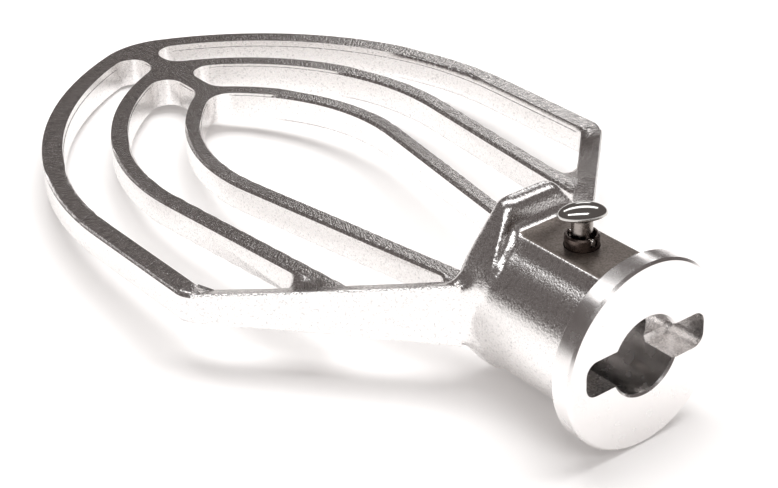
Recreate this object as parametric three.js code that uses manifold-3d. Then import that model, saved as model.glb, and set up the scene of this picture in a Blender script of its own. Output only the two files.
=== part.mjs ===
// Flat beater of a large planetary mixer, in millimetres.
// +X runs along the hub axis and out of the hub mouth, +Y across the blades, +Z is up,
// square to the blades. Pieces are drawn from the centre of the hub face, and the group
// at the end moves the middle of the bounding box's bottom to the origin.
import * as THREE from 'three';
import { mergeVertices } from 'three/addons/utils/BufferGeometryUtils.js';
import Module from 'manifold-3d';

const wasm = await Module();
wasm.setup();

// ---- driving dimensions -------------------------------------------------
const TIP_X = -437;            // nose of the outer loop
const BLADE_HALF_DEPTH = 8;    // blades reach this far above and below the hub axis
const BLADE_CHAMFER = 1.6;
const SHOULDER_X = -177;       // where the outer loop starts to turn into the arms
const SHOULDER_RADIUS = 14;
const ARM_ANGLE = 46;          // degrees between an arm and the hub axis
const ARM_WIDTH = 11.5;
const ARM_ROOT_X = -78;
const ARM_ROOT_HALF_DEPTH = 17;

const FLANGE_RADIUS = 47.5;
const FLANGE_THICKNESS = 11.5;
const BARREL_RADIUS = 39;
const PLATE_BACK_X = -88;      // end plate, between the barrel and the blades
const PLATE_FRONT_X = -70;
const PLATE_TOP_Z = 52.5;
const BORE_RADIUS = 19.5;
const BORE_DEPTH = 64;
const LOBE_REACH = 36.5;       // the drive pin's slots, measured from the hub axis
const LOBE_HALF_HEIGHT = 9;
const LOBE_DEPTH = 18;

const BOSS_TOP_Z = 39.3;
const BOSS_HALF_WIDTH = 15;
const BOSS_FOOT_HALF_WIDTH = 19.5;
const PLUNGER_X = -43;
const GUIDE_RADIUS = 8.2;
const GUIDE_BOTTOM_Z = 25;
const GUIDE_TOP_Z = 45.3;
const GUIDE_SHOULDER_Z = 39.5; // underside of the guide's inner shoulder
const GUIDE_SHOULDER_THICKNESS = 1.5;
const CHAMBER_RADIUS = 6.6;    // spring chamber inside the guide
const NOTCH_FLOOR_Z = 41.2;
const NOTCH_WIDTH = 3.8;
const STEM_RADIUS = 5;
const NOSE_RADIUS = 6.2;
const NOSE_TIP_Z = 12.5;
const NOSE_TOP_Z = 23;
const CROSS_PIN_RADIUS = 1.5;
const CROSS_PIN_LENGTH = 15.6;
const SPRING_WIRE_RADIUS = 0.45;
const SPRING_MEAN_RADIUS = 5.85;
const SPRING_TURNS = 6;
const KNOB_LENGTH = 23.5;
const KNOB_WIDTH = 13.5;
const KNOB_RIM_Z = 54.8;
const KNOB_DOME = 5.7;
const KNOB_UNDERCUT = 1.8;
const KNOB_TURN = THREE.MathUtils.degToRad(60);
const SPIGOT_RADIUS = 3;       // threaded end of the stem inside the knob
const SPIGOT_LENGTH = 4;
const GAP = 0.3;               // running gap between neighbours

const ARC_STEP = THREE.MathUtils.degToRad(5);
const ROUND = 48;              // sides of a full circle

// ---- materials ----------------------------------------------------------
const castAluminium = () => new THREE.MeshStandardMaterial(
  { color: 0xb9b6b1, roughness: 0.32, metalness: 1 });
const polishedSteel = () => new THREE.MeshStandardMaterial(
  { color: 0xa8a6a2, roughness: 0.12, metalness: 1 });
const darkSteel = () => new THREE.MeshStandardMaterial(
  { color: 0x6f6a66, roughness: 0.35, metalness: 1 });

// ---- solids -------------------------------------------------------------
function solid(geometry) {
  const bare = geometry.index ? geometry.toNonIndexed() : geometry.clone();
  bare.deleteAttribute('normal');
  bare.deleteAttribute('uv');
  const merged = mergeVertices(bare, 1e-4);
  return new wasm.Manifold(new wasm.Mesh({
    numProp: 3,
    vertProperties: new Float32Array(merged.attributes.position.array),
    triVerts: new Uint32Array(merged.index.array),
  }));
}

function geometryOf(manifold) {
  const mesh = manifold.getMesh();
  const geometry = new THREE.BufferGeometry();
  geometry.setAttribute('position', new THREE.BufferAttribute(mesh.vertProperties, 3));
  geometry.setIndex(new THREE.BufferAttribute(mesh.triVerts, 1));
  geometry.computeVertexNormals();
  return geometry;
}

const piece = (name, geometry, material) => {
  const mesh = new THREE.Mesh(geometry, material);
  mesh.name = name;
  return mesh;
};

// A ring or rod about +Z from [radius, z] corners.
const turned = (profile) => new THREE.LatheGeometry(
  profile.map(([radius, z]) => new THREE.Vector2(radius, z)), ROUND).rotateX(Math.PI / 2);

// The same about +X, from [radius, x] corners.
const turnedAlongX = (profile) => turned(profile).rotateY(Math.PI / 2);

// A flat outline in X and Y, thickened about z = 0, with chamfered edges.
function slab(points, halfDepth, chamfer) {
  const geometry = new THREE.ExtrudeGeometry(new THREE.Shape(points), {
    depth: 2 * (halfDepth - chamfer),
    bevelEnabled: true,
    bevelSegments: 1,
    bevelSize: chamfer,
    bevelThickness: chamfer,
    bevelOffset: -chamfer,
    curveSegments: 12,
  });
  return geometry.translate(0, 0, chamfer - halfDepth);
}

// A [y, z] outline pushed along X, with chamfered edges.
function prism(corners, fromX, toX, chamfer) {
  const outline = corners.map(([y, z]) => new THREE.Vector2(y, z));
  const geometry = new THREE.ExtrudeGeometry(new THREE.Shape(outline), {
    depth: toX - fromX - 2 * chamfer,
    bevelEnabled: chamfer > 0,
    bevelSegments: 1,
    bevelSize: chamfer,
    bevelThickness: chamfer,
    bevelOffset: -chamfer,
  });
  return geometry.rotateX(Math.PI / 2).rotateZ(Math.PI / 2).translate(fromX + chamfer, 0, 0);
}

// ---- blades -------------------------------------------------------------
// Walks from a point on y = 0, heading +Y, along arcs that meet in tangents and turn
// clockwise, [radius, degrees], and along straight runs to a given x, [x].
// Each step is { point, left }, left being the outward normal.
function walk(startX, legs) {
  let heading = Math.PI / 2;
  const point = new THREE.Vector2(startX, 0);
  const left = () => new THREE.Vector2(-Math.sin(heading), Math.cos(heading));
  const steps = [{ point: point.clone(), left: left() }];
  for (const [amount, degrees] of legs) {
    if (degrees === undefined) {
      const run = (amount - point.x) / Math.cos(heading);
      point.x += run * Math.cos(heading);
      point.y += run * Math.sin(heading);
      steps.push({ point: point.clone(), left: left() });
      continue;
    }
    const turn = THREE.MathUtils.degToRad(degrees);
    const count = Math.ceil(turn / ARC_STEP);
    const centre = point.clone().addScaledVector(left(), -amount);
    for (let i = 0; i < count; i += 1) {
      heading -= turn / count;
      point.copy(centre).addScaledVector(left(), amount);
      steps.push({ point: point.clone(), left: left() });
    }
  }
  return steps;
}

// A U-shaped blade: its edges are the walk moved outward and inward, mirrored in y = 0.
function loopBlade(steps, outward, inward) {
  const edge = (offset) => steps.map(({ point, left }, i) =>
    point.clone().addScaledVector(left, offset(i / (steps.length - 1))));
  const outer = edge(outward);
  const inner = edge((t) => -inward(t));
  const mirrored = (points) => points.slice(1).map((p) => new THREE.Vector2(p.x, -p.y));
  const outline = [
    ...mirrored(outer).reverse(), ...outer, ...inner.reverse(), ...mirrored(inner.reverse()),
  ];
  return solid(slab(outline, BLADE_HALF_DEPTH, BLADE_CHAMFER));
}

const outerWalk = walk(TIP_X,
  [[43, 24], [199, 66], [SHOULDER_X], [SHOULDER_RADIUS, ARM_ANGLE], [ARM_ROOT_X]]);

// The outer loop runs on round the shoulders and down the arms.
function outerLoop() {
  return loopBlade(outerWalk, () => 0, (t) => 14 - 2.5 * Math.min(1, 3 * t));
}

function middleLoop() {
  const centre = walk(-397, [[6, 24], [143, 71], [-122]]);
  return loopBlade(centre, () => 4.75, () => 4.75);
}

function innerLoop() {
  const centre = walk(-351, [[9.4, 39], [116, 60], [PLATE_BACK_X + 6]]);
  return loopBlade(centre, () => 4.6, () => 4.6);
}

function spine() {
  const [back, front, half] = [TIP_X + 6, -344, 5.4];
  const outline = [[back, -half], [front, -half], [front, half], [back, half]];
  return solid(slab(outline.map(([x, y]) => new THREE.Vector2(x, y)),
    BLADE_HALF_DEPTH, BLADE_CHAMFER));
}

// A wedge along the +Y arm, which deepens it from the shoulder to the end plate.
function armWedge() {
  const root = outerWalk.at(-1).point;
  const start = outerWalk.at(-2).point;
  const along = root.clone().sub(start);
  const run = along.length();
  const profile = new THREE.Shape([
    new THREE.Vector2(0, -BLADE_HALF_DEPTH),
    new THREE.Vector2(run, -ARM_ROOT_HALF_DEPTH),
    new THREE.Vector2(run, ARM_ROOT_HALF_DEPTH),
    new THREE.Vector2(0, BLADE_HALF_DEPTH),
  ]);
  const bar = new THREE.ExtrudeGeometry(profile, {
    depth: ARM_WIDTH - 2 * BLADE_CHAMFER,
    bevelSegments: 1,
    bevelSize: BLADE_CHAMFER,
    bevelThickness: BLADE_CHAMFER,
    bevelOffset: -BLADE_CHAMFER,
  });
  bar.rotateX(Math.PI / 2).translate(0, -BLADE_CHAMFER, 0);
  bar.rotateZ(along.angle()).translate(start.x, start.y, 0);
  return solid(bar);
}

// ---- hub ----------------------------------------------------------------
const mirrorCorners = (half) => [...half, ...half.map(([y, z]) => [-y, z]).reverse()];

function endPlate() {
  const half = [[24, -34], [38, -16], [38, 16], [34, 25], [15, PLATE_TOP_Z]];
  return solid(prism(mirrorCorners(half), PLATE_BACK_X, PLATE_FRONT_X, 2.5));
}

function boss() {
  const half = [[BOSS_FOOT_HALF_WIDTH, 0], [BOSS_FOOT_HALF_WIDTH, 33.5],
    [BOSS_HALF_WIDTH, BOSS_TOP_Z]];
  return solid(prism(mirrorCorners(half), PLATE_FRONT_X - 4, -FLANGE_THICKNESS + 1, 0));
}

function hubBody() {
  const edge = 1.5;
  const back = -FLANGE_THICKNESS;
  return solid(turnedAlongX([
    [0, PLATE_BACK_X + 6], [BARREL_RADIUS - 3, PLATE_BACK_X + 6],
    [BARREL_RADIUS, PLATE_BACK_X + 9], [BARREL_RADIUS, back],
    [FLANGE_RADIUS - edge, back], [FLANGE_RADIUS, back + edge],
    [FLANGE_RADIUS, -edge], [FLANGE_RADIUS - edge, 0], [0, 0],
  ]));
}

function bore() {
  const mouth = 1.2;
  return solid(turnedAlongX([
    [0, -BORE_DEPTH], [BORE_RADIUS, -BORE_DEPTH], [BORE_RADIUS, -mouth],
    [BORE_RADIUS + 2 * mouth, mouth], [0, mouth],
  ]));
}

// Two opposite slots with round ends, as one long hole across the bore.
function driveSlots() {
  const corner = 6;
  const arc = (y, z, from) => Array.from({ length: 5 }, (_, i) => {
    const angle = THREE.MathUtils.degToRad(from + 22.5 * i);
    return [y + corner * Math.cos(angle), z + corner * Math.sin(angle)];
  });
  const [y, z] = [LOBE_REACH - corner, LOBE_HALF_HEIGHT - corner];
  const outline = [...arc(y, -z, -90), ...arc(y, z, 0), ...arc(-y, z, 90), ...arc(-y, -z, 180)];
  return solid(prism(outline, -LOBE_DEPTH, 2, 0));
}

// Stepped hole for the guide above and the nose below.
function plungerHole() {
  const hole = turned([
    [0, 0], [CHAMBER_RADIUS, 0], [CHAMBER_RADIUS, GUIDE_BOTTOM_Z - GAP],
    [GUIDE_RADIUS + GAP, GUIDE_BOTTOM_Z - GAP], [GUIDE_RADIUS + GAP, 60], [0, 60],
  ]);
  return solid(hole.translate(PLUNGER_X, 0, 0));
}

function beaterCasting() {
  let body = hubBody().add(boss()).add(endPlate());
  for (const blade of [outerLoop(), middleLoop(), innerLoop(), spine()]) {
    body = body.add(blade);
  }
  body = body.add(armWedge()).add(armWedge().mirror([0, 1, 0]));
  for (const hole of [bore(), driveSlots(), plungerHole()]) {
    body = body.subtract(hole);
  }
  return geometryOf(body);
}

// ---- locking plunger ----------------------------------------------------
// Castellated guide: a collar stands on the boss, its body fills the hole below.
function plungerGuide() {
  const inner = STEM_RADIUS + GAP;
  const shoulderTop = GUIDE_SHOULDER_Z + GUIDE_SHOULDER_THICKNESS;
  const sleeve = solid(turned([
    [CHAMBER_RADIUS, GUIDE_BOTTOM_Z], [GUIDE_RADIUS, GUIDE_BOTTOM_Z],
    [GUIDE_RADIUS, GUIDE_TOP_Z - 0.5], [GUIDE_RADIUS - 0.5, GUIDE_TOP_Z],
    [CHAMBER_RADIUS, GUIDE_TOP_Z], [CHAMBER_RADIUS, shoulderTop],
    [inner, shoulderTop], [inner, GUIDE_SHOULDER_Z],
    [CHAMBER_RADIUS, GUIDE_SHOULDER_Z], [CHAMBER_RADIUS, GUIDE_BOTTOM_Z],
  ]));
  const depth = 6;
  const notch = new THREE.BoxGeometry(3 * GUIDE_RADIUS, NOTCH_WIDTH, depth);
  notch.translate(0, 0, NOTCH_FLOOR_Z + depth / 2);
  return geometryOf(sleeve.subtract(solid(notch)));
}

const crossPinHeight = NOTCH_FLOOR_Z + CROSS_PIN_RADIUS + GAP;
const knobFootZ = KNOB_RIM_Z - KNOB_UNDERCUT;

// Stem and nose in one, with a cross hole and a threaded spigot for the knob.
function plungerPin() {
  const stemTop = knobFootZ - GAP;
  const pin = solid(turned([
    [0, NOSE_TIP_Z], [NOSE_RADIUS - 1.8, NOSE_TIP_Z], [NOSE_RADIUS, NOSE_TIP_Z + 2.5],
    [NOSE_RADIUS, NOSE_TOP_Z], [STEM_RADIUS, NOSE_TOP_Z], [STEM_RADIUS, stemTop],
    [SPIGOT_RADIUS, stemTop], [SPIGOT_RADIUS, stemTop + SPIGOT_LENGTH],
    [0, stemTop + SPIGOT_LENGTH],
  ]));
  const hole = new THREE.CylinderGeometry(
    CROSS_PIN_RADIUS + GAP, CROSS_PIN_RADIUS + GAP, 3 * STEM_RADIUS, 16);
  hole.rotateZ(Math.PI / 2).translate(0, 0, crossPinHeight);
  return geometryOf(pin.subtract(solid(hole)));
}

function crossPin() {
  const pin = new THREE.CylinderGeometry(
    CROSS_PIN_RADIUS, CROSS_PIN_RADIUS, CROSS_PIN_LENGTH, 16);
  return pin.rotateZ(Math.PI / 2).translate(0, 0, crossPinHeight);
}

// Oval mushroom: a dome over a shallow underside, hollowed for the spigot.
function knob() {
  const curve = [];
  for (let i = 0; i <= 8; i += 1) {
    const angle = (i / 8) * Math.PI / 2;
    curve.push([Math.cos(angle), KNOB_RIM_Z + KNOB_DOME * Math.sin(angle)]);
  }
  const profile = [[0, knobFootZ], [0.5, knobFootZ], [0.82, KNOB_RIM_Z - 0.9],
    [0.96, KNOB_RIM_Z - 0.6], ...curve.slice(0, -1), [0, KNOB_RIM_Z + KNOB_DOME]];
  const oval = turned(profile).scale(KNOB_LENGTH / 2, KNOB_WIDTH / 2, 1).rotateZ(KNOB_TURN);
  const socket = turned([
    [0, knobFootZ - 1], [SPIGOT_RADIUS + GAP, knobFootZ - 1],
    [SPIGOT_RADIUS + GAP, knobFootZ + SPIGOT_LENGTH], [0, knobFootZ + SPIGOT_LENGTH],
  ]);
  return geometryOf(solid(oval).subtract(solid(socket)));
}

// Compression spring between the nose and the guide's inner shoulder.
class Helix extends THREE.Curve {
  getPoint(t, target = new THREE.Vector3()) {
    const bottom = NOSE_TOP_Z + GAP + SPRING_WIRE_RADIUS;
    const top = GUIDE_SHOULDER_Z - GAP - SPRING_WIRE_RADIUS;
    const angle = 2 * Math.PI * SPRING_TURNS * t;
    return target.set(SPRING_MEAN_RADIUS * Math.cos(angle),
      SPRING_MEAN_RADIUS * Math.sin(angle), THREE.MathUtils.lerp(bottom, top, t));
  }
}

function spring() {
  const wire = new THREE.Shape().absarc(0, 0, SPRING_WIRE_RADIUS, 0, 2 * Math.PI);
  const coil = new THREE.ExtrudeGeometry(wire, {
    steps: 20 * SPRING_TURNS,
    curveSegments: 6,
    extrudePath: new Helix(),
  });
  return geometryOf(solid(coil));
}

// ---- assembly -----------------------------------------------------------
const plunger = new THREE.Group();
plunger.position.x = PLUNGER_X;
plunger.add(
  piece('plunger_guide', plungerGuide(), darkSteel()),
  piece('plunger_pin', plungerPin(), polishedSteel()),
  piece('plunger_spring', spring(), darkSteel()),
  piece('plunger_cross_pin', crossPin(), polishedSteel()),
  piece('plunger_knob', knob(), polishedSteel()),
);

const beater = new THREE.Group();
beater.position.set(-TIP_X / 2, 0, FLANGE_RADIUS);
beater.add(piece('beater_casting', beaterCasting(), castAluminium()), plunger);

export default beater;
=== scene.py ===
"""Flat beater of a large planetary mixer: a sand-cast aluminium beater with a sprung steel
locking plunger. Lengths in the operators are in millimetres from the centre of the hub face:
x along the hub and out of its mouth, y across the blades, z the way the plunger is pulled."""

from math import atan2, ceil, cos, hypot, pi, radians, sin

import bmesh
import bpy
from bpy.props import FloatProperty, FloatVectorProperty, IntProperty, PointerProperty
from mathutils import Matrix, Vector


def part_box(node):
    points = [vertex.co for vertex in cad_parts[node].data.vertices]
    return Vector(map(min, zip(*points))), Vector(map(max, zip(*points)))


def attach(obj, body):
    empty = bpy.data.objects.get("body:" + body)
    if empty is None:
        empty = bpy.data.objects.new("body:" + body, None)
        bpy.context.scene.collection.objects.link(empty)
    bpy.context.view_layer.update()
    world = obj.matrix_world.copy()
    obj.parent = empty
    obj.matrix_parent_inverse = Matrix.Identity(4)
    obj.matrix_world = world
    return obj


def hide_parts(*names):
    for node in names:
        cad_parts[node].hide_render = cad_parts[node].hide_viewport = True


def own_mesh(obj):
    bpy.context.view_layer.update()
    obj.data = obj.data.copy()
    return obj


bl_info = {
    "name": "Mixer Flat Beater",
    "version": (1, 0, 0),
    "blender": (4, 5, 0),
    "location": "3D View > Sidebar > Beater",
    "description": "Builds a cast flat beater with its locking plunger, and a studio stage",
    "category": "Add Mesh",
}

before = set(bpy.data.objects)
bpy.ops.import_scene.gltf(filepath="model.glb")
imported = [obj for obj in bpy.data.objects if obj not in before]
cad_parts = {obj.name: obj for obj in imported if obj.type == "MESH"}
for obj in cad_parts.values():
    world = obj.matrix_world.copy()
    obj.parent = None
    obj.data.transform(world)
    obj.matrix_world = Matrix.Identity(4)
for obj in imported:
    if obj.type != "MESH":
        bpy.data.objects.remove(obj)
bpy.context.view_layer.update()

MM = 0.001
CASTING_LOW, CASTING_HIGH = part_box("beater_casting")
GUIDE_LOW, GUIDE_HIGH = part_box("plunger_guide")
NOSE_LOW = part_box("plunger_pin")[0]
CROSS_LOW, CROSS_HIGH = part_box("plunger_cross_pin")
SPRING_LOW, SPRING_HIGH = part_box("plunger_spring")
KNOB_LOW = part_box("plunger_knob")[0]
FLANGE_RADIUS = (CASTING_HIGH.z - CASTING_LOW.z) / MM - 52.5
HUB = Vector((CASTING_HIGH.x, 0, CASTING_LOW.z + FLANGE_RADIUS * MM))
LENGTH = (CASTING_HIGH.x - CASTING_LOW.x) / MM
PLUNGER_X = ((GUIDE_LOW.x + GUIDE_HIGH.x) / 2 - HUB.x) / MM


def at(x, y, z):
    """A point given in millimetres from the centre of the hub face."""
    return HUB + Vector((x, y, z)) * MM


def length(name, description, millimetres):
    """A size that is set in the panel, in metres."""
    return FloatProperty(name=name, description=description, default=millimetres * MM,
                         min=0, unit="LENGTH", subtype="DISTANCE", precision=4)


def srgb(code):
    """The linear colour of an sRGB hex value."""
    parts = [int(code[i:i + 2], 16) / 255 for i in (1, 3, 5)]
    return tuple(c / 12.92 if c <= 0.04045 else ((c + 0.055) / 1.055) ** 2.4 for c in parts)


def colour(name, description, code):
    """A colour that is set in the panel."""
    return FloatVectorProperty(name=name, description=description, default=srgb(code),
                               min=0, max=1, size=3, subtype="COLOR")


class BeaterSizes(bpy.types.PropertyGroup):
    blade_depth: length("Blade depth", "Depth of the blades, top to bottom", 16)
    outer_width: length("Outer loop width", "Thickness of the outer loop", 11.5)
    middle_width: length("Middle loop width", "Thickness of the middle loop", 9.5)
    inner_width: length("Inner loop width", "Thickness of the inner loop", 9.2)
    spine_width: length("Spine width", "Thickness of the spine at the nose", 11)
    blade_edge: length("Blade edge", "Broken edge along the blades", 1.6)
    fillet: length("Blade fillet", "Radius in the corners between blades", 8)
    hub_fillet: length("Hub fillet", "Radius in the inner corners of the hub", 2.2)
    grain: length("Mesh grain", "Size of the casting's mesh faces", 1.05)
    flange_thickness: length("Flange thickness", "Thickness of the hub flange", 11.5)
    barrel_radius: length("Barrel radius", "Radius of the hub behind the flange", 38.7)
    bore_radius: length("Bore radius", "Radius of the shaft bore", 19.5)
    bore_depth: length("Bore depth", "Depth of the shaft bore", 64)
    slot_reach: length("Slot reach", "Reach of the drive slots from the axis", 36.5)
    slot_depth: length("Slot depth", "Depth of the drive slots", 18)
    stem_radius: length("Stem radius", "Radius of the plunger's stem", 5)
    wire_radius: length("Spring wire radius", "Radius of the spring's wire", 0.45)
    spring_turns: IntProperty(name="Spring turns", description="Turns of the spring",
                              default=6, min=2, max=12)


class BeaterColours(bpy.types.PropertyGroup):
    cast: colour("Cast aluminium", "As-cast, tumbled aluminium", "#F6F4F3")
    ground: colour("Ground aluminium", "Blade tops after the grinding belt", "#E8E5E3")
    machined: colour("Machined aluminium", "Turned flange and bored hole", "#F5F3F2")
    milled: colour("Milled aluminium", "Flat on top of the boss", "#A0968F")
    polished: colour("Polished steel", "Knob and stem", "#D2CECA")
    turned: colour("Turned steel", "Plunger pin", "#9A938E")
    oiled: colour("Oiled steel", "Guide, darkened in use", "#655A55")
    wire: colour("Spring wire", "Drawn spring steel", "#A09B96")
    floor: colour("Floor", "Pale studio floor", "#F4F2F1")
    studio: colour("Studio", "Dim room above the floor", "#7A7371")


# The raw blades are this much thinner a side and this much deeper a face than the
# finished ones, and deeper again at the nose, so that the fillets there reach full height.
RAW_INSET = 0.25
RAW_EXTRA = 0.6
NOSE_EXTRA = 9
GRINDING_ALLOWANCE = 0.02

# The stage. The camera's axes are its right, down and ahead.
CAMERA_PLACE = (532.3, -545.3, 488.4)
CAMERA_AXES = ((0.61779812, 0.78568584, -0.03198828), (0.36980411, -0.3262028, -0.86996359),
               (-0.69395274, 0.52563247, -0.49207733))
SENSOR, LENS = 36, 92.6
EXPOSURE = -0.35
FLOOR_GAP = 0.4
FLOOR_GLOW = 0.2
ROOM_STRENGTH = 0.86
# Each light's name, place, what it faces (none: straight down), size, watts and whether the
# metal mirrors it. The big one isn't mirrored, so that flat metal stays grey from all
# sides. The narrow ones draw the bright lines on edges and on the knob.
LIGHT_TURN = 52
LIGHTS = (("overhead", (-120, 380, 1800), None, (2300, 1000), 46, False),
          ("strip", (-490, 340, 1390), None, (2300, 480), 9, True),
          ("far_panel", (-1560, 1450, 880), (-200, 100, 0), (560, 360), 1.8, True),
          ("front_card", (620, -620, 1120), (-60, 0, 30), (1500, 320), 6, True))

# Places along an arm and how far its outer edges stand there from its middle plane. The
# root is where the raw arm ends inside the hub. The lean is how much lower the inner
# edges are.
ARM_STATIONS = ((-166, 8.5), (-148, 9.8), (-132, 11.4), (-116, 13.1), (-100, 14.8),
                (-84, 16.8))
ARM_ROOT = (-74, 18.2)
ARM_LEAN = 3.4
ARM_EDGE = 0.8


# ---- modelling helpers --------------------------------------------------
def only(piece):
    """Makes this the one selected and active object."""
    if bpy.context.mode != "OBJECT":
        bpy.ops.object.mode_set(mode="OBJECT")
    bpy.ops.object.select_all(action="DESELECT")
    piece.select_set(True)
    bpy.context.view_layer.objects.active = piece


def started(name):
    """Names the primitive that was just added and puts its place into its mesh."""
    piece = bpy.context.object
    piece.name = name
    piece.data.name = name
    only(piece)
    bpy.ops.object.transform_apply(location=True, rotation=True, scale=True)
    return piece


def clear_selection():
    """Leaves edit mode and selects nothing, so that a new primitive stands alone."""
    if bpy.context.mode != "OBJECT":
        bpy.ops.object.mode_set(mode="OBJECT")
    bpy.ops.object.select_all(action="DESELECT")


def pick(piece, kind, test):
    """In edit mode, selects just the corners, edges or faces that pass the test."""
    only(piece)
    bpy.ops.object.mode_set(mode="EDIT")
    bpy.ops.mesh.select_mode(type=kind)
    bpy.ops.mesh.select_all(action="DESELECT")
    mesh = bmesh.from_edit_mesh(piece.data)
    for part in {"VERT": mesh.verts, "EDGE": mesh.edges, "FACE": mesh.faces}[kind]:
        if test(part):
            part.select_set(True)
    mesh.select_flush_mode()
    bmesh.update_edit_mesh(piece.data)


def place(corner):
    """A corner's place, in millimetres from the hub face."""
    return (corner.co - HUB) / MM


def push(x, y, z):
    """Extrudes the selection by this many millimetres."""
    bpy.ops.mesh.extrude_region_move(
        TRANSFORM_OT_translate={"value": tuple(Vector((x, y, z)) * MM)})


def modify(piece, kind, **settings):
    """Adds a modifier with these settings and applies it."""
    only(piece)
    modifier = piece.modifiers.new(kind.title(), kind)
    for name, value in settings.items():
        setattr(modifier, name, value)
    bpy.ops.object.modifier_apply(modifier=modifier.name)


def cut_or_join(piece, tool, operation):
    """Boolean of two closed shapes; the tool is used up."""
    modify(piece, "BOOLEAN", object=tool, operation=operation, solver="MANIFOLD")
    bpy.data.objects.remove(tool)


def tidy(piece):
    """Merges doubles and turns the faces outwards."""
    pick(piece, "FACE", lambda part: True)
    bpy.ops.mesh.remove_doubles(threshold=1e-6)
    bpy.ops.mesh.normals_make_consistent(inside=False)
    bpy.ops.object.mode_set(mode="OBJECT")


def round_bar(name, profile, sides, along="Z", foot=(0, 0, 0)):
    """Turned piece from [radius, height] corners: a ring that is extruded and resized.
    A profile that ends where it starts makes a tube; any other is capped at both ends."""
    clear_selection()
    turn = {"Z": (0, 0, 0), "X": (0, pi / 2, 0)}[along]
    step = {"Z": Vector((0, 0, 1)), "X": Vector((1, 0, 0))}[along]
    x, y, z = foot
    start = at(x, y, z) + step * profile[0][1] * MM
    bpy.ops.mesh.primitive_circle_add(
        vertices=sides, radius=profile[0][0] * MM, location=start, rotation=turn)
    piece = started(name)
    pick(piece, "EDGE", lambda part: True)
    tube = tuple(profile[0]) == tuple(profile[-1])
    if not tube:
        bpy.ops.mesh.edge_face_add()
        pick(piece, "EDGE", lambda part: True)
    (radius, height) = profile[0]
    for next_radius, next_height in profile[1:]:
        bpy.ops.mesh.extrude_edges_move(TRANSFORM_OT_translate={
            "value": tuple(step * (next_height - height) * MM)})
        ratio = next_radius / radius
        scale = (ratio, ratio, 1) if along == "Z" else (1, ratio, ratio)
        bpy.ops.transform.resize(value=scale, center_override=tuple(
            at(x, y, z) + step * next_height * MM))
        radius, height = next_radius, next_height
    if not tube:
        bpy.ops.mesh.edge_face_add()
    tidy(piece)
    return piece


def outline_block(name, corners, start, end):
    """Block from a [y, z] outline at x = start, pushed to x = end."""
    clear_selection()
    bpy.ops.mesh.primitive_circle_add(
        vertices=len(corners), radius=MM, fill_type="NGON", rotation=(0, pi / 2, 0))
    piece = started(name)
    for corner, (y, z) in zip(piece.data.vertices, corners):
        corner.co = at(start, y, z)
    pick(piece, "FACE", lambda part: True)
    push(end - start, 0, 0)
    tidy(piece)
    return piece


def plan_block(name, corners, low, high):
    """Block from an [x, y] outline at z = low, pushed up to z = high."""
    clear_selection()
    bpy.ops.mesh.primitive_circle_add(vertices=len(corners), radius=MM, fill_type="NGON")
    piece = started(name)
    for corner, (x, y) in zip(piece.data.vertices, corners):
        corner.co = at(x, y, low)
    pick(piece, "FACE", lambda part: True)
    push(0, 0, high - low)
    tidy(piece)
    return piece


def mirrored(half):
    """An outline from its +y half, given bottom to top."""
    return [*half, *[(-y, z) for y, z in reversed(half)]]


# ---- blades -------------------------------------------------------------
def section(name, width, half_depth, edges, spot, facing):
    """Upright cross-section with its corners broken by (outer, inner) edges. It stands at
    this spot and its outer side faces this way."""
    clear_selection()
    bpy.ops.mesh.primitive_plane_add(size=1, location=at(*spot, 0),
                                     rotation=(pi / 2, 0, facing))
    bpy.context.object.scale = (width * MM, 2 * half_depth * MM, 1)
    piece = started(name)
    outwards = Vector((cos(facing), sin(facing), 0))

    def outer(corner):
        return (place(corner) - Vector((*spot, 0))).dot(outwards) > 0

    for side, edge in ((outer, edges[0]), (lambda corner: not outer(corner), edges[1])):
        pick(piece, "VERT", side)
        bpy.ops.mesh.bevel(offset=edge * MM, segments=1, affect="VERTICES")
    pick(piece, "FACE", lambda part: True)
    return piece


def sweep(spot, heading, legs, step=3):
    """Takes the selected cross-section round arcs, (radius, degrees), and along straight
    runs to an x, (x, None). It returns where it stops."""
    x, y = spot
    for amount, degrees in legs:
        if degrees is None:
            run = (amount - x) / cos(heading)
            push(run * cos(heading), run * sin(heading), 0)
            x, y = x + run * cos(heading), y + run * sin(heading)
            continue
        turn = radians(degrees)
        centre_x = x + amount * sin(heading)
        centre_y = y - amount * cos(heading)
        bpy.ops.mesh.spin(steps=ceil(degrees / step), angle=turn,
                          center=tuple(at(centre_x, centre_y, 0)), axis=(0, 0, 1))
        heading -= turn
        x = centre_x - amount * sin(heading)
        y = centre_y + amount * cos(heading)
    return (x, y), heading


def both_sides(piece):
    """Opens a half loop on the middle line and mirrors it across."""
    pick(piece, "FACE", lambda part: all(abs(v.co.y) < 1e-6 for v in part.verts))
    bpy.ops.mesh.delete(type="ONLY_FACE")
    modify(piece, "MIRROR", use_axis=(False, True, False), merge_threshold=1e-5)
    tidy(piece)


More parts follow.
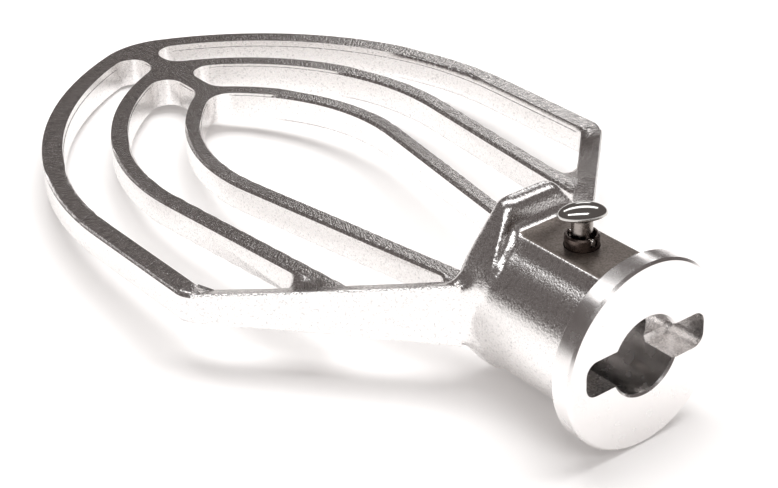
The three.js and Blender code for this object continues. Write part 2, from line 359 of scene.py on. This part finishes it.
def arm(spot, heading, width, depth, edge, less):
    """Both arms: each deepens towards the hub, and its top and bottom slope inwards past
    the shoulder. Less makes them less deep, and longer, so that they root in the hub."""
    along = Vector((cos(heading), sin(heading), 0))
    outwards = Vector((-along.y, along.x, 0))
    start = (spot[0] - 0.2 * along.x, spot[1] - 0.2 * along.y)
    piece = section("arm", width, depth - less, (edge, edge), start, heading + pi / 2)
    spot = start
    heights = {1: depth, -1: depth}
    for x, height in (*ARM_STATIONS, ARM_ROOT) if less else ARM_STATIONS:
        spot, heading = sweep(spot, heading, [(x, None)])
        centre = Vector((*spot, 0))

        def ahead(corner):
            return (place(corner) - centre).dot(along) > -0.01

        for side, new_height in ((1, height), (-1, height - ARM_LEAN)):
            for up in (1, -1):
                pick(piece, "VERT", lambda corner: ahead(corner)
                     and side * (place(corner) - centre).dot(outwards) > 0
                     and up * place(corner).z > 0)
                move = up * (new_height - heights[side])
                bpy.ops.transform.translate(value=(0, 0, move * MM))
            heights[side] = new_height
        pick(piece, "FACE", lambda part: all(ahead(corner) for corner in part.verts))
    bpy.ops.object.mode_set(mode="OBJECT")
    modify(piece, "MIRROR", use_axis=(False, True, False))
    tidy(piece)
    return piece


def loops(sizes, less=0.0, taller=0.0, nose_taller=0.0):
    """Three nested loops, the two arms, and the spine. Less makes them thinner all round
    in plan, taller makes them deeper, and nose_taller does so only near the nose."""
    depth = sizes.blade_depth / MM / 2 + taller
    edge = sizes.blade_edge / MM + less + taller
    pieces = []
    tall = depth + nose_taller
    for name, back_x, width, inner_edge, legs in (
            ("outer_loop", -LENGTH, sizes.outer_width, 2.3,
             [(43, 24), (199, 66), (-177, None), (14, 46)]),
            ("middle_loop", -397 - sizes.middle_width / MM / 2, sizes.middle_width, 1,
             [(10.75, 24), (147.75, 71), (-120, None)]),
            ("inner_loop", -351 - sizes.inner_width / MM / 2, sizes.inner_width, 1,
             [(14, 39), (120.6, 60), (-80, None)])):
        wide = width / MM - 2 * less
        spot = (back_x + width / MM / 2, 0)
        pieces.append(section(name, wide, tall, (edge, edge * inner_edge), spot, pi))
        half = width / MM / 2
        legs = [(leg[0] - half, leg[1]) if leg[1] else leg for leg in legs]
        end, heading = sweep(spot, pi / 2, legs)
        both_sides(pieces[-1])
        if name == "outer_loop":
            shoulder = end, heading, wide + 0.04
    arms = arm(*shoulder, sizes.blade_depth / MM / 2 + GRINDING_ALLOWANCE, ARM_EDGE + less,
               1.6 * less)
    clear_selection()
    bpy.ops.mesh.primitive_cube_add(size=1, location=at(-387.5, 0, 0))
    bpy.context.object.scale = (87 * MM, sizes.spine_width - 2 * less * MM, 2 * tall * MM)
    spine = started("spine")
    pick(spine, "EDGE", lambda part: abs(part.verts[0].co.x - part.verts[1].co.x) > 0.01)
    bpy.ops.mesh.bevel(offset=edge * MM, segments=1, affect="EDGES")
    bpy.ops.object.mode_set(mode="OBJECT")
    if nose_taller:
        behind = [(-325, -160), (-40, -160), (-40, 160), (-325, 160)]
        for piece in pieces[:3]:
            ground_flush(piece, depth, behind)
    return [*pieces, arms, spine]


def together(pieces):
    """Joins pieces into one object."""
    only(pieces[0])
    for piece in pieces[1:]:
        piece.select_set(True)
    bpy.ops.object.join()
    return bpy.context.object


# Plan of what is ground flat: the blades, as far as the inner edges of the arms.
GROUND_AREA = [(-450, -150), (-176, -150), (-176, -117), (-97, -35), (-97, 35),
               (-176, 117), (-176, 150), (-450, 150)]


def ground_flush(piece, level, area):
    """Takes both faces of a piece down to this height from the middle plane, inside this
    area."""
    for side in (1, -1):
        low, high = sorted((side * level, side * 40))
        cut_or_join(piece, plan_block("grinding", area, low, high), "DIFFERENCE")


# ---- hub ----------------------------------------------------------------
PLATE_OUTLINE = [(24, -34), (38, -16), (38, 16), (33, 26), (15.5, 52.5)]


def end_plate(name, less):
    """End plate, whose front and back lean together towards the crest. Less makes it
    thinner at the front."""
    plate = outline_block(name, mirrored(PLATE_OUTLINE), -88.5, -70.5 - less)
    for x, z, move in ((-88.5, 50, 4), (-70.5 - less, 50, -5), (-70.5 - less, 26, 6)):
        pick(plate, "VERT", lambda corner: abs(place(corner).x - x) < 1
             and 0 <= place(corner).z - z + 0.5 < 4)
        bpy.ops.transform.translate(value=(move * MM, 0, 0))
    pick(plate, "EDGE", lambda part: True)
    bpy.ops.mesh.bevel(offset=3.2 * MM, segments=2, affect="EDGES")
    bpy.ops.object.mode_set(mode="OBJECT")
    return plate


def hub_core(sizes):
    """What the arms flow into: the back of the barrel and of the end plate."""
    radius = sizes.barrel_radius / MM
    barrel = round_bar("barrel_back", [(radius - 3, -83), (radius, -79), (radius, -45)],
                       120, along="X")
    return [barrel, end_plate("plate_back", 4)]


def hub_blank(sizes):
    """The rest of the raw hub: barrel, end plate, boss and a rough flange."""
    radius = sizes.barrel_radius / MM
    flange = sizes.flange_thickness / MM
    barrel = round_bar("barrel", [(radius, -60), (radius, -flange / 2)], 120, along="X")
    rim = round_bar("rim", [(46.3, -flange + 0.6), (46.9, -flange + 1.2), (46.9, -1)],
                    120, along="X")
    plate = end_plate("end_plate", 0)
    foot = outline_block("boss", mirrored([(19.5, 10), (19.5, 33.8), (15, 39.3)]), -76, -6)
    return [barrel, rim, plate, foot]


def filleted(piece, radius):
    """Grows and shrinks the skin, which rounds every inner corner as the sand does."""
    modify(piece, "REMESH", mode="VOXEL", voxel_size=1.2 * MM)
    modify(piece, "DISPLACE", strength=radius, mid_level=0)
    modify(piece, "REMESH", mode="VOXEL", voxel_size=1.3 * MM)
    modify(piece, "DISPLACE", strength=-radius, mid_level=0)
    return piece


def machined_flange(sizes):
    """The turned flange, with a light chamfer on both edges."""
    back = -sizes.flange_thickness / MM
    edge = 1.2
    full = FLANGE_RADIUS
    return round_bar("flange", [
        (full - edge - 3, back), (full - edge, back), (full, back + edge),
        (full, -edge), (full - edge, 0), (30, 0)], 160, along="X")


def shaft_bore(sizes):
    """Bore with a bevelled mouth."""
    radius = sizes.bore_radius / MM
    depth = sizes.bore_depth / MM
    return round_bar("bore", [
        (radius - 2, -depth), (radius, -depth + 2), (radius, -1), (radius + 2, 1)],
        128, along="X")


def drive_slot(sizes):
    """Two opposite slots with round corners, as one block across the bore."""
    reach = sizes.slot_reach / MM
    slot = outline_block("drive_slot", mirrored([(reach, -8.5), (reach, 9.8)]),
                         -sizes.slot_depth / MM, 2)
    pick(slot, "EDGE", lambda part: abs(part.verts[0].co.x - part.verts[1].co.x) > 0.005)
    bpy.ops.mesh.bevel(offset=6.2 * MM, segments=6, affect="EDGES")
    pick(slot, "FACE", lambda part: part.normal.x < -0.9)
    bpy.ops.mesh.inset(thickness=2.2 * MM)
    bpy.ops.transform.translate(value=(-2.2 * MM, 0, 0))
    bpy.ops.object.mode_set(mode="OBJECT")
    return slot


def plunger_hole():
    """Stepped hole for the guide above and the nose below."""
    return round_bar("plunger_hole", [
        (6.6, 0), (6.6, 24.7), (8.5, 24.7), (8.5, 60)], 64, foot=(PLUNGER_X, 0, 0))


# ---- finishes -----------------------------------------------------------
def add(tree, kind, settings=(), **links):
    """Adds a node: settings are its own properties, links its sockets, each a value or
    an (earlier node, output) pair."""
    made = tree.nodes.new(kind)
    for name, value in dict(settings).items():
        setattr(made, name, value)
    for name, value in links.items():
        socket = made.inputs[int(name[1:])] if name[0] == "i" and name[1:].isdigit() \
            else made.inputs[name.replace("_", " ")]
        if isinstance(value, tuple) and isinstance(value[0], bpy.types.Node):
            tree.links.new(value[0].outputs[value[1]], socket)
        else:
            socket.default_value = value
    return made


def metal(name, base, roughness):
    """A new metal, with the nodes that its grain hangs on."""
    made = bpy.data.materials.new(name)
    made.use_nodes = True
    tree = made.node_tree
    shader = tree.nodes["Principled BSDF"]
    shader.inputs["Base Color"].default_value = (*base, 1)
    shader.inputs["Metallic"].default_value = 1
    shader.inputs["Roughness"].default_value = roughness
    coordinates = add(tree, "ShaderNodeTexCoord")
    return made, tree, shader, (coordinates, "Object")


def per_mm(millimetres):
    """Pattern scale for features of this size, on coordinates in metres."""
    return 1 / (millimetres * MM)


def speckled(tree, pattern, light, dark_share, low, high):
    """Base colour that goes from a share of the light colour to all of it as the pattern
    goes from low to high."""
    dark = tuple(part * dark_share for part in light)
    share = add(tree, "ShaderNodeMapRange", Value=(pattern, "Fac"), i1=low, i2=high)
    mixed = add(tree, "ShaderNodeMix", {"data_type": "RGBA"}, i0=(share, "Result"),
                i6=(*dark, 1), i7=(*light, 1))
    tree.links.new(mixed.outputs[2], tree.nodes["Principled BSDF"].inputs["Base Color"])


def cast_aluminium(colours):
    """Aluminium, sand-cast and tumbled: bright, with a pebbled skin, small grey pores and
    the odd pit, so that its reflections break up and sparkle. The pebbles are drawn at
    1.2 mm, coarser than sand, so that they show."""
    made, tree, shader, spot = metal("sand_cast_aluminium", colours.cast, 0.22)
    pebbles = add(tree, "ShaderNodeTexNoise", Vector=spot, Scale=per_mm(1.2),
                  Detail=2.0, Roughness=0.6)
    dents = add(tree, "ShaderNodeTexNoise", Vector=spot, Scale=per_mm(14), Detail=1.0)
    pits = add(tree, "ShaderNodeTexVoronoi", Vector=spot, Scale=per_mm(7))
    pit = add(tree, "ShaderNodeMapRange", Value=(pits, "Distance"), i1=0.0, i2=0.12,
              i3=0.0, i4=1.0)
    low = add(tree, "ShaderNodeBump", Height=(dents, "Fac"), Distance=0.3 * MM,
              Strength=0.15)
    skin = add(tree, "ShaderNodeBump", Height=(pebbles, "Fac"), Distance=0.13 * MM,
               Strength=1.0, Normal=(low, "Normal"))
    last = add(tree, "ShaderNodeBump", Height=(pit, "Result"), Distance=0.15 * MM,
               Strength=0.5, Normal=(skin, "Normal"))
    rough = add(tree, "ShaderNodeMapRange", Value=(pebbles, "Fac"), i1=0.3, i2=0.7,
                i3=0.17, i4=0.3)
    speckled(tree, pebbles, colours.cast, 0.74, 0.3, 0.46)
    tree.links.new(last.outputs["Normal"], shader.inputs["Normal"])
    tree.links.new(rough.outputs["Result"], shader.inputs["Roughness"])
    return made


def ground_aluminium(colours):
    """Cast aluminium taken flat on a coarse grinding belt, which leaves short lines across
    each blade and a duller, darker face with bright grains. The lines are drawn 1.2 mm
    apart, coarser than the grit, so that they show."""
    made, tree, shader, spot = metal("ground_aluminium", colours.ground, 0.24)
    centred = add(tree, "ShaderNodeMapping", Vector=spot)
    centred.inputs["Location"].default_value = tuple(-at(-245, 0, 0))
    parts = add(tree, "ShaderNodeSeparateXYZ", Vector=(centred, "Vector"))
    angle = add(tree, "ShaderNodeMath", {"operation": "ARCTAN2"}, i0=(parts, "Y"),
                i1=(parts, "X"))
    lines = add(tree, "ShaderNodeMath", {"operation": "MULTIPLY"}, i0=(angle, "Value"),
                i1=150 / 1.2)
    radius = add(tree, "ShaderNodeVectorMath", {"operation": "LENGTH"},
                 i0=(centred, "Vector"))
    across = add(tree, "ShaderNodeMath", {"operation": "MULTIPLY"}, i0=(radius, "Value"),
                 i1=per_mm(5))
    belt = add(tree, "ShaderNodeCombineXYZ", X=(lines, "Value"), Y=(across, "Value"))
    scratches = add(tree, "ShaderNodeTexNoise", Vector=(belt, "Vector"), Scale=1.0,
                    Detail=2.0, Roughness=0.6)
    pebbles = add(tree, "ShaderNodeTexNoise", Vector=spot, Scale=per_mm(1.4),
                  Detail=2.0, Roughness=0.6)
    lines_bump = add(tree, "ShaderNodeBump", Height=(scratches, "Fac"),
                     Distance=0.24 * MM, Strength=0.8)
    skin = add(tree, "ShaderNodeBump", Height=(pebbles, "Fac"), Distance=0.26 * MM,
               Strength=1.0, Normal=(lines_bump, "Normal"))
    speckled(tree, scratches, colours.ground, 0.68, 0.32, 0.56)
    tree.links.new(skin.outputs["Normal"], shader.inputs["Normal"])
    return made


def milled_aluminium(colours):
    """Cast aluminium skimmed flat on a mill: an even, dull grey face with a fine tooth."""
    made, tree, shader, spot = metal("milled_aluminium", colours.milled, 0.42)
    tooth = add(tree, "ShaderNodeTexNoise", Vector=spot, Scale=per_mm(0.8), Detail=3.0,
                Roughness=0.7)
    grain = add(tree, "ShaderNodeBump", Height=(tooth, "Fac"), Distance=0.05 * MM,
                Strength=1.0)
    speckled(tree, tooth, colours.milled, 0.55, 0.36, 0.6)
    tree.links.new(grain.outputs["Normal"], shader.inputs["Normal"])
    return made


def machined_aluminium(colours):
    """Aluminium turned in a lathe: bright and fairly smooth, with faint rings about the
    hub's axis."""
    made, tree, shader, spot = metal("turned_aluminium", colours.machined, 0.24)
    centred = add(tree, "ShaderNodeMapping", Vector=spot)
    centred.inputs["Location"].default_value = (0, -HUB.y, -HUB.z)
    rings = add(tree, "ShaderNodeTexWave",
                {"wave_type": "RINGS", "rings_direction": "X"},
                Vector=(centred, "Vector"), Scale=per_mm(0.9) / 20, Distortion=0.6,
                Detail=2.0)
    wear = add(tree, "ShaderNodeTexNoise", Vector=spot, Scale=per_mm(7), Detail=4.0)
    rough = add(tree, "ShaderNodeMapRange", Value=(wear, "Fac"), i1=0.3, i2=0.7,
                i3=0.18, i4=0.3)
    feed = add(tree, "ShaderNodeBump", Height=(rings, "Fac"), Distance=0.01 * MM,
               Strength=0.5)
    soft = add(tree, "ShaderNodeBump", Height=(wear, "Fac"), Distance=0.05 * MM,
               Strength=0.4, Normal=(feed, "Normal"))
    tree.links.new(soft.outputs["Normal"], shader.inputs["Normal"])
    tree.links.new(rough.outputs["Result"], shader.inputs["Roughness"])
    return made


def polished_steel(colours):
    """Stainless steel, turned and buffed to a mirror, with roughness that varies in soft
    smears from handling.
    """
    made, tree, shader, spot = metal("polished_steel", colours.polished, 0.07)
    smear = add(tree, "ShaderNodeTexNoise", Vector=spot, Scale=per_mm(3), Detail=4.0)
    rough = add(tree, "ShaderNodeMapRange", Value=(smear, "Fac"), i1=0.3, i2=0.7,
                i3=0.04, i4=0.13)
    tree.links.new(rough.outputs["Result"], shader.inputs["Roughness"])
    return made


def turned_steel(name, base):
    """Carbon steel, turned and darkened by oil, with fine tool rings round the piece."""
    made, tree, shader, spot = metal(name, base, 0.22)
    centred = add(tree, "ShaderNodeMapping", Vector=spot)
    centred.inputs["Location"].default_value = tuple(-at(PLUNGER_X, 0, 0))
    rings = add(tree, "ShaderNodeTexWave", {"wave_type": "BANDS", "bands_direction": "Z"},
                Vector=(centred, "Vector"), Scale=per_mm(0.5) / 20, Distortion=0.4)
    smear = add(tree, "ShaderNodeTexNoise", Vector=spot, Scale=per_mm(2), Detail=3.0)
    rough = add(tree, "ShaderNodeMapRange", Value=(smear, "Fac"), i1=0.3, i2=0.7,
                i3=0.16, i4=0.34)
    feed = add(tree, "ShaderNodeBump", Height=(rings, "Fac"), Distance=0.01 * MM,
               Strength=0.6)
    tree.links.new(feed.outputs["Normal"], shader.inputs["Normal"])
    tree.links.new(rough.outputs["Result"], shader.inputs["Roughness"])
    return made


def spring_steel(colours):
    """Drawn spring wire, with a grey oxide skin."""
    made, tree, shader, spot = metal("spring_wire", colours.wire, 0.3)
    skin = add(tree, "ShaderNodeTexNoise", Vector=spot, Scale=per_mm(0.6), Detail=2.0)
    rough = add(tree, "ShaderNodeMapRange", Value=(skin, "Fac"), i1=0.3, i2=0.7,
                i3=0.24, i4=0.4)
    tree.links.new(rough.outputs["Result"], shader.inputs["Roughness"])
    return made


def finish_piece(piece, finish, body, node, angle=35):
    """Smooths a finished piece, gives it its finish, and ties it to the frame."""
    only(piece)
    bpy.ops.object.shade_smooth_by_angle(angle=radians(angle))
    if finish:
        piece.data.materials.clear()
        piece.data.materials.append(finish)
    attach(piece, body)
    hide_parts(node)


# ---- operators ----------------------------------------------------------
class MakeStage(bpy.types.Operator):
    """Camera, pale floor and soft studio light"""
    bl_idname = "beater.stage"
    bl_label = "Stage"

    def execute(self, context):
        colours = context.scene.beater_colours
        scene = context.scene
        scene.view_settings.view_transform = "Standard"
        scene.view_settings.exposure = EXPOSURE

        clear_selection()
        bpy.ops.object.camera_add(location=at(*CAMERA_PLACE))
        camera = context.object
        right, down, ahead = (Vector(axis) for axis in CAMERA_AXES)
        turn = Matrix((right, -down, -ahead)).transposed()
        camera.rotation_euler = turn.to_euler()
        camera.data.sensor_width = SENSOR
        camera.data.lens = LENS
        camera.data.clip_end = 50
        scene.camera = camera

        # The beater rests on the flange's rim and on its nose, so the floor rises that way.
        slope = atan2(FLANGE_RADIUS - 8, LENGTH)
        bpy.ops.mesh.primitive_plane_add(
            size=14, location=at(0, 0, -FLANGE_RADIUS - FLOOR_GAP), rotation=(0, slope, 0))
        floor = context.object
        floor.name = "studio_floor"
        paper = bpy.data.materials.new("matt_white_paper")
        paper.use_nodes = True
        shader = paper.node_tree.nodes["Principled BSDF"]
        shader.inputs["Base Color"].default_value = (*colours.floor, 1)
        shader.inputs["Roughness"].default_value = 0.9
        shader.inputs["Emission Color"].default_value = (*colours.floor, 1)
        shader.inputs["Emission Strength"].default_value = FLOOR_GLOW
        floor.data.materials.append(paper)

        for name, spot, target, size, power, mirrored_too in LIGHTS:
            bpy.ops.object.light_add(type="AREA", location=at(*spot))
            light = context.object
            light.name = name
            light.visible_glossy = mirrored_too
            light.data.shape = "RECTANGLE"
            light.data.size, light.data.size_y = (side * MM for side in size)
            light.data.energy = power
            if target:
                aim = at(*target) - at(*spot)
                light.rotation_euler = aim.to_track_quat("-Z", "Y").to_euler()
            else:
                light.rotation_euler = (0, 0, radians(LIGHT_TURN))

        world = scene.world or bpy.data.worlds.new("studio")
        scene.world = world
        world.use_nodes = True
        tree = world.node_tree
        background = tree.nodes["Background"]
        background.inputs["Color"].default_value = (*colours.studio, 1)
        background.inputs["Strength"].default_value = ROOM_STRENGTH
        # The eye sees a pale room, while the metal mirrors a dim one.
        pale = add(tree, "ShaderNodeBackground", Color=(1, 1, 1, 1), Strength=1.0)
        seen = add(tree, "ShaderNodeLightPath")
        mixed = add(tree, "ShaderNodeMixShader", i0=(seen, "Is Camera Ray"),
                    i1=(background, "Background"), i2=(pale, "Background"))
        tree.links.new(mixed.outputs["Shader"], tree.nodes["World Output"].inputs["Surface"])
        return {"FINISHED"}


class MakeCasting(bpy.types.Operator):
    """Sand-cast beater: blades, arms and hub in one, with its machined faces"""
    bl_idname = "beater.casting"
    bl_label = "Casting"

    def execute(self, context):
        sizes = context.scene.beater_sizes
        colours = context.scene.beater_colours
        blades = together(loops(sizes, RAW_INSET, RAW_EXTRA, NOSE_EXTRA)
                          + hub_core(sizes))
        filleted(blades, sizes.fillet)
        casting = together([blades, *hub_blank(sizes)])
        filleted(casting, sizes.hub_fillet)
        modify(casting, "REMESH", mode="VOXEL", voxel_size=sizes.grain)
        modify(casting, "SMOOTH", factor=0.5, iterations=2)
        ground_flush(casting, sizes.blade_depth / MM / 2 - GRINDING_ALLOWANCE, GROUND_AREA)
        for blade in loops(sizes):
            cut_or_join(casting, blade, "UNION")
        cut_or_join(casting, machined_flange(sizes), "UNION")
        for tool in (shaft_bore(sizes), drive_slot(sizes), plunger_hole()):
            cut_or_join(casting, tool, "DIFFERENCE")
        if len(casting.data.polygons) < 1000:
            raise RuntimeError("the casting came out empty")
        casting.name = casting.data.name = "casting"
        casting.data.materials.clear()
        for finish in (cast_aluminium(colours), ground_aluminium(colours),
                       machined_aluminium(colours), milled_aluminium(colours)):
            casting.data.materials.append(finish)
        depth = sizes.blade_depth / MM / 2
        for face in casting.data.polygons:
            x, y, z = (face.center - HUB) / MM
            level = abs(face.normal.z) > 0.9
            reach = hypot(y, z)
            if level and x < -110 and abs(z) > depth - 1.5:
                face.material_index = 1
            elif face.normal.z > 0.94 and -70 < x < -11 and 38.5 < z < 40.2:
                face.material_index = 3
            elif x > -12 and (reach > FLANGE_RADIUS - 1.5 or x > -0.2):
                face.material_index = 2
            elif reach < sizes.bore_radius / MM + 2.2 and x > -70:
                face.material_index = 2
            else:
                face.material_index = 0
        finish_piece(casting, None, "beater", "beater_casting", 40)
        return {"FINISHED"}


class MakeGuide(bpy.types.Operator):
    """Castellated guide: a collar on the boss, with its body in the hole below"""
    bl_idname = "beater.guide"
    bl_label = "Plunger guide"

    def execute(self, context):
        low = (GUIDE_LOW.z - HUB.z) / MM
        top = (GUIDE_HIGH.z - HUB.z) / MM
        guide = round_bar("guide", [
            (6.6, low), (8.2, low), (8.2, top - 0.7), (7.5, top), (6.9, top), (6.6, top - 0.3),
            (6.6, 41), (5.3, 41), (5.3, 39.5), (6.6, 39.5), (6.6, low)],
            96, foot=(PLUNGER_X, 0, 0))
        clear_selection()
        bpy.ops.mesh.primitive_cube_add(size=1, location=at(PLUNGER_X, 0, 41.2 + 4))
        context.object.scale = (30 * MM, 3.8 * MM, 8 * MM)
        notch = started("notch")
        pick(notch, "EDGE", lambda part: abs(part.verts[0].co.x - part.verts[1].co.x) > 0.01)
        bpy.ops.mesh.bevel(offset=0.3 * MM, segments=2, affect="EDGES")
        bpy.ops.object.mode_set(mode="OBJECT")
        cut_or_join(guide, notch, "DIFFERENCE")
        finish = turned_steel("oiled_turned_steel", context.scene.beater_colours.oiled)
        finish_piece(guide, finish, "beater", "plunger_guide")
        return {"FINISHED"}


class MakePin(bpy.types.Operator):
    """Plunger stem and nose, turned in one"""
    bl_idname = "beater.pin"
    bl_label = "Plunger pin"

    def execute(self, context):
        radius = context.scene.beater_sizes.stem_radius / MM
        low = (NOSE_LOW.z - HUB.z) / MM
        top = (KNOB_LOW.z - HUB.z) / MM - 0.3
        pin = round_bar("pin", [
            (3.8, low), (4.4, low + 0.2), (6.0, low + 2.3), (6.2, low + 2.8), (6.2, 22.7),
            (5.9, 23), (radius, 23), (radius, top - 0.5), (radius - 0.5, top), (3, top),
            (3, top + 3.6), (2.6, top + 4)], 80, foot=(PLUNGER_X, 0, 0))
        hole = round_bar("cross_hole", [(1.8, -9), (1.8, 9)], 32, along="X",
                         foot=(PLUNGER_X, 0, 43))
        cut_or_join(pin, hole, "DIFFERENCE")
        finish = turned_steel("turned_steel", context.scene.beater_colours.turned)
        finish_piece(pin, finish, "plunger", "plunger_pin")
        return {"FINISHED"}


class MakeCrossPin(bpy.types.Operator):
    """Short pin through the stem, which drops into the guide's notches"""
    bl_idname = "beater.cross_pin"
    bl_label = "Cross pin"

    def execute(self, context):
        half = (CROSS_HIGH.x - CROSS_LOW.x) / MM / 2
        height = ((CROSS_HIGH.z + CROSS_LOW.z) / 2 - HUB.z) / MM
        pin = round_bar("cross_pin", [
            (1.1, -half), (1.5, -half + 0.4), (1.5, half - 0.4), (1.1, half)],
            40, along="X", foot=(PLUNGER_X, 0, height))
        finish = polished_steel(context.scene.beater_colours)
        finish_piece(pin, finish, "plunger", "plunger_cross_pin")
        return {"FINISHED"}


class MakeSpring(bpy.types.Operator):
    """Compression spring between the nose and the guide's inner shoulder"""
    bl_idname = "beater.spring"
    bl_label = "Plunger spring"

    def execute(self, context):
        sizes = context.scene.beater_sizes
        wire = sizes.wire_radius
        mean = (SPRING_HIGH.x - SPRING_LOW.x) / 2 - wire
        travel = SPRING_HIGH.z - SPRING_LOW.z - 2 * wire
        clear_selection()
        bpy.ops.mesh.primitive_circle_add(vertices=12, radius=wire,
                                          location=(mean, 0, 0), rotation=(pi / 2, 0, 0))
        spring = started("spring")
        modify(spring, "SCREW", angle=2 * pi, screw_offset=travel / sizes.spring_turns,
               iterations=sizes.spring_turns, steps=32, render_steps=32,
               use_merge_vertices=True, merge_threshold=1e-7)
        pick(spring, "EDGE", lambda part: part.is_boundary)
        bpy.ops.mesh.fill()
        foot = Vector((HUB.x + PLUNGER_X * MM, 0, SPRING_LOW.z + wire))
        bpy.ops.object.mode_set(mode="OBJECT")
        spring.location = foot
        started("spring")
        tidy(spring)
        finish_piece(spring, spring_steel(context.scene.beater_colours),
                     "beater", "plunger_spring")
        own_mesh(spring)
        return {"FINISHED"}


class MakeKnob(bpy.types.Operator):
    """Oval mushroom knob on the stem"""
    bl_idname = "beater.knob"
    bl_label = "Plunger knob"

    def execute(self, context):
        rim, dome, half_long, half_wide = 54.8, 5.7, 11.75, 6.75
        foot = (KNOB_LOW.z - HUB.z) / MM
        curve = [(half_long * cos(radians(a)), rim + dome * sin(radians(a)))
                 for a in range(0, 90, 6)]
        knob = round_bar("knob", [
            (6.6, foot), (8.4, foot + 0.25), (9.9, foot + 0.7), (11.0, rim - 0.75),
            (11.6, rim - 0.35), *curve, (0.4, rim + dome)],
            96, foot=(PLUNGER_X, 0, 0))
        socket = round_bar("socket", [(3.3, foot - 1), (3.3, foot + 4)], 48,
                           foot=(PLUNGER_X, 0, 0))
        pick(knob, "VERT", lambda part: True)
        middle_point = tuple(at(PLUNGER_X, 0, rim))
        bpy.ops.transform.resize(value=(1, half_wide / half_long, 1),
                                 center_override=middle_point)
        bpy.ops.object.mode_set(mode="OBJECT")
        cut_or_join(knob, socket, "DIFFERENCE")
        pivot = Matrix.Translation(middle_point)
        knob.data.transform(pivot @ Matrix.Rotation(radians(60), 4, "Z") @ pivot.inverted())
        finish = bpy.data.materials.get("polished_steel")
        finish_piece(knob, finish, "plunger", "plunger_knob")
        return {"FINISHED"}


OPERATORS = (MakeStage, MakeCasting, MakeGuide, MakePin, MakeCrossPin, MakeSpring, MakeKnob)


class BeaterPanel(bpy.types.Panel):
    bl_idname = "VIEW3D_PT_beater"
    bl_label = "Flat Beater"
    bl_space_type = "VIEW_3D"
    bl_region_type = "UI"
    bl_category = "Beater"

    def draw(self, context):
        for operator in OPERATORS:
            self.layout.operator(operator.bl_idname)
        for group in (context.scene.beater_sizes, context.scene.beater_colours):
            for name in group.__annotations__:
                self.layout.prop(group, name)


CLASSES = (BeaterSizes, BeaterColours, *OPERATORS, BeaterPanel)


def register():
    for made in CLASSES:
        bpy.utils.register_class(made)
    bpy.types.Scene.beater_sizes = PointerProperty(type=BeaterSizes)
    bpy.types.Scene.beater_colours = PointerProperty(type=BeaterColours)


def unregister():
    del bpy.types.Scene.beater_colours
    del bpy.types.Scene.beater_sizes
    for made in reversed(CLASSES):
        bpy.utils.unregister_class(made)


def main():
    register()
    bpy.ops.beater.stage()
    bpy.ops.beater.casting()
    bpy.ops.beater.guide()
    bpy.ops.beater.pin()
    bpy.ops.beater.cross_pin()
    bpy.ops.beater.spring()
    bpy.ops.beater.knob()


if __name__ == "__main__":
    main()
